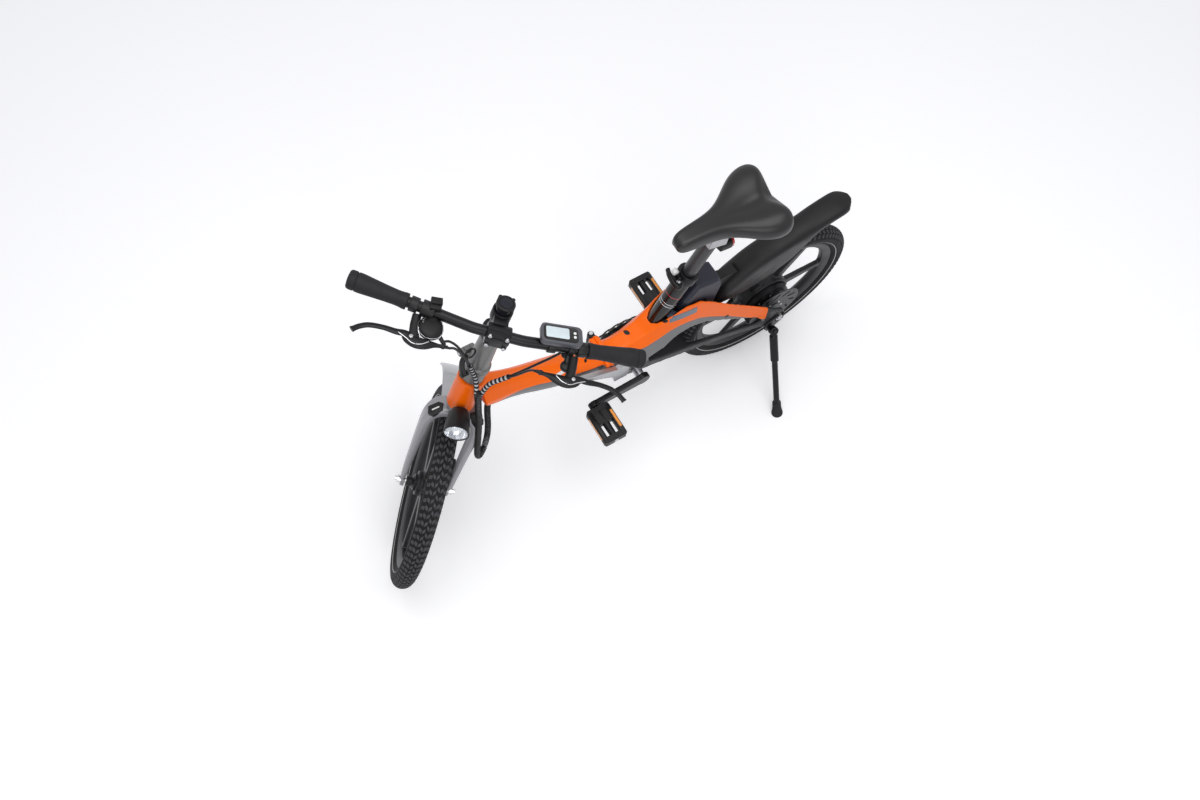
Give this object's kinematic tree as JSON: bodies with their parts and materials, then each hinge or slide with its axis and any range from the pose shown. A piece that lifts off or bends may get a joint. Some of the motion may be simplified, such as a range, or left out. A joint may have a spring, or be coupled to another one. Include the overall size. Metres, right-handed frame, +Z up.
{
  "type": "electric folding bicycle",
  "caption": "Electric folding bicycle with a cast monocoque frame, small cast wheels, a rear hub motor and folding handlepost, leaning on its side stand.",
  "frame": {"origin": "on the ground, at the middle of the leaning bicycle's box", "axes": "+X forward along the frame, +Y to the rider's left, +Z up"},
  "size_m": [1.4355, 0.5004, 0.9706],
  "materials": {
    "black_metal": "black anodised",
    "black_paint": "gloss black",
    "black_plastic": "matt black",
    "casting": "satin dark grey cast",
    "frame_paint": "gloss orange over satin grey",
    "grey_paint": "satin grey",
    "grey_plastic": "matt dark grey",
    "lamp": "black with clear lens",
    "rubber": "matt",
    "saddle_cover": "soft matt black",
    "silver": "satin silver",
    "steel": "brushed",
    "tyre": "matt, block tread"
  },
  "bodies": {
    "rear_frame": {"rear_frame": "frame_paint", "seat_tube": "black_paint", "seat_clamp": "black_metal", "seat_clamp_lever": "black_metal", "battery_case": "grey_plastic", "rear_fender": "black_plastic", "fender_bracket": "black_plastic", "chain": "steel", "rear_brake_caliper": "black_metal", "stand_bracket": "black_metal", "frame_latch": "silver", "rear_axle": "steel", "fold_pin": "steel", "derailleur": "black_metal"},
    "rear_wheel": {"rear_tyre": "tyre", "rear_wheel_casting": "casting", "rear_hub_motor": "black_metal", "rear_brake_disc": "steel", "cassette": "steel"},
    "crankset": {"crank_spindle": "steel", "left_crank": "black_metal", "right_crank": "black_metal", "chainring": "black_metal"},
    "left_pedal": {"left_pedal": "black_plastic"},
    "right_pedal": {"right_pedal": "black_plastic"},
    "seat": {"seatpost": "black_metal", "saddle": "saddle_cover", "saddle_clamp": "silver", "rear_light": "lamp"},
    "side_stand": {"stand_leg": "black_metal", "stand_foot": "rubber"},
    "front_frame": {"front_frame": "frame_paint", "cable_loop": "rubber"},
    "fork": {"fork": "grey_paint", "front_fender": "grey_paint", "headlight": "lamp", "headlight_bracket": "silver", "post_base": "grey_paint", "front_axle": "steel", "front_brake_caliper": "black_metal", "stem_pin": "steel"},
    "front_wheel": {"front_tyre": "tyre", "front_wheel_casting": "casting", "front_hub": "black_metal", "front_brake_disc": "steel"},
    "handlepost": {"handlepost": "grey_paint", "post_collar": "black_metal"},
    "bar": {"stem": "black_metal", "handlebar": "black_metal", "left_grip": "rubber", "right_grip": "rubber", "left_brake_lever": "black_metal", "right_brake_lever": "black_metal", "shifter": "black_plastic", "display": "grey_plastic", "bell": "black_metal", "cable_left": "rubber", "cable_right": "rubber"}
  },
  "joints": [
    {"name": "rear_wheel_spin", "type": "hinge", "parent": "rear_frame", "child": "rear_wheel", "pos_m": [-0.46479, -0.0573, 0.25197], "axis": [0, 0.9955, -0.095], "continuous": true},
    {"name": "crank_spin", "type": "hinge", "parent": "rear_frame", "child": "crankset", "pos_m": [-0.04768, -0.05323, 0.29471], "axis": [0, 0.9955, -0.095], "continuous": true},
    {"name": "left_pedal_spin", "type": "hinge", "parent": "crankset", "child": "left_pedal", "pos_m": [0.09222, -0.05372, 0.28949], "axis": [0, 0.9955, -0.095], "continuous": true},
    {"name": "right_pedal_spin", "type": "hinge", "parent": "crankset", "child": "right_pedal", "pos_m": [-0.18758, -0.05273, 0.29993], "axis": [0, 0.9955, -0.095], "continuous": true},
    {"name": "seat_height", "type": "slide", "parent": "rear_frame", "child": "seat", "axis": [-0.3641, 0.0885, 0.9271], "range_m": [-0.06, 0.18]},
    {"name": "stand_swing", "type": "hinge", "parent": "rear_frame", "child": "side_stand", "pos_m": [-0.44286, 0.03967, 0.21554], "axis": [0.1017, 0.8422, 0.5295], "range_deg": [0, 101.4]},
    {"name": "frame_fold", "type": "hinge", "parent": "rear_frame", "child": "front_frame", "pos_m": [0.04055, -0.09443, 0.38932], "axis": [-0.0026, -0.095, -0.9955], "range_deg": [0, 150]},
    {"name": "steering", "type": "hinge", "parent": "front_frame", "child": "fork", "pos_m": [0.41699, -0.02867, 0.55207], "axis": [0.3116, -0.0902, -0.9459], "range_deg": [-28, 132], "deforming": ["cable_loop", "cable_left", "cable_right"]},
    {"name": "front_wheel_spin", "type": "hinge", "parent": "fork", "child": "front_wheel", "pos_m": [0.54184, -0.02926, 0.24227], "axis": [-0.7488, 0.5896, -0.3029], "continuous": true},
    {"name": "stem_fold", "type": "hinge", "parent": "fork", "child": "handlepost", "pos_m": [0.37489, -0.05451, 0.69924], "axis": [-0.9431, -0.1507, -0.2963], "range_deg": [-180, 0], "deforming": ["cable_loop", "cable_left", "cable_right"]},
    {"name": "stem_height", "type": "slide", "parent": "handlepost", "child": "bar", "axis": [-0.3116, 0.0902, 0.9459], "range_m": [-0.015, 0.04], "deforming": ["cable_left", "cable_right"]}
  ]
}
